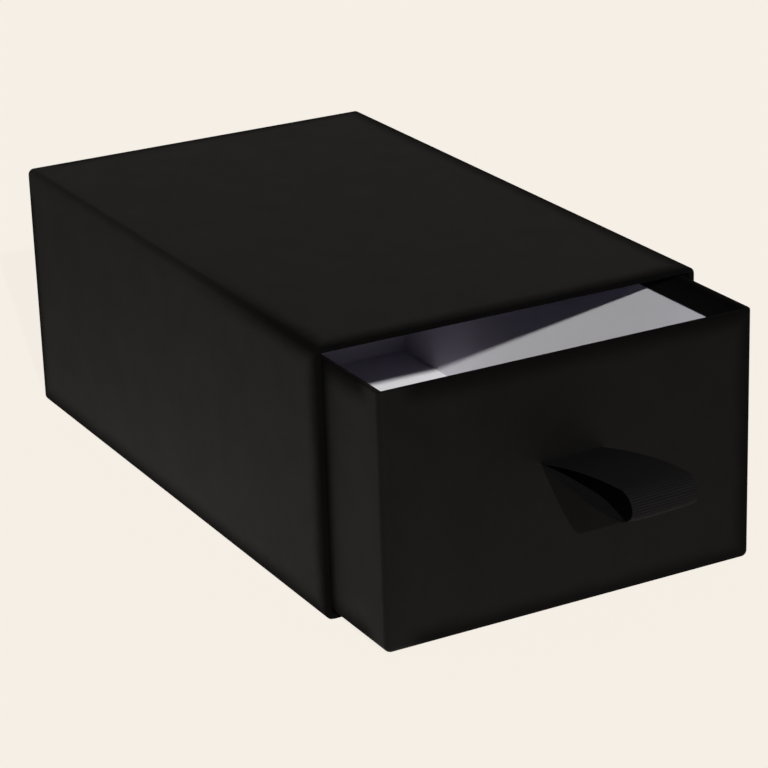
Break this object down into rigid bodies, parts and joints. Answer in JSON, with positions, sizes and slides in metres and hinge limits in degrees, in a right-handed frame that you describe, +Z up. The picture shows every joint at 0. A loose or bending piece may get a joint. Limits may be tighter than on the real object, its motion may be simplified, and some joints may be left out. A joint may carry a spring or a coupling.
{
  "type": "drawer gift box",
  "caption": "Black paper-covered rigid gift box: an open-fronted case holding a white-lined sliding drawer with a ribbon loop pull.",
  "frame": {"origin": "centre of the case's underside, on the surface that the box stands on", "axes": "+X to the right seen from the front, +Y from the open mouth to the back, +Z up; the drawer slides out along -Y"},
  "size_m": [0.12, 0.2734, 0.079],
  "materials": {
    "greyboard": "matte",
    "cover_paper": "matte",
    "case_lining": "matte",
    "drawer_lining": "matte",
    "corner_tape": "matte",
    "ribbon": "satin"
  },
  "bodies": {
    "case": {"case_back_board": "greyboard", "case_bottom_board": "greyboard", "case_top_board": "greyboard", "case_left_board": "greyboard", "case_right_board": "greyboard", "case_back_lining": "case_lining", "case_bottom_lining": "case_lining", "case_top_lining": "case_lining", "case_left_lining": "case_lining", "case_right_lining": "case_lining", "case_corner_tapes": "corner_tape", "case_wrap_paper": "cover_paper", "case_base_sheet": "cover_paper", "case_back_sheet": "cover_paper"},
    "drawer": {"drawer_floor_board": "greyboard", "drawer_front_board": "greyboard", "drawer_back_board": "greyboard", "drawer_left_board": "greyboard", "drawer_right_board": "greyboard", "drawer_floor_lining": "drawer_lining", "drawer_front_lining": "drawer_lining", "drawer_back_lining": "drawer_lining", "drawer_left_lining": "drawer_lining", "drawer_right_lining": "drawer_lining", "drawer_corner_tapes": "corner_tape", "drawer_wrap_paper": "cover_paper", "drawer_base_sheet": "cover_paper", "pull_tails": "ribbon", "pull_tail_patch": "drawer_lining"},
    "pull": {"pull_loop": "ribbon"}
  },
  "joints": [
    {"name": "drawer_slide", "type": "slide", "parent": "case", "child": "drawer", "axis": [0, -1, 0], "range_m": [-0.0305, 0.15]},
    {"name": "pull_swing", "type": "hinge", "parent": "drawer", "child": "pull", "pos_m": [0, -0.1306, 0.04593], "axis": [1, 0, 0], "range_deg": [-74, 74], "stiffness_Nm_per_rad": 0.002, "springref_deg": -2.81}
  ]
}
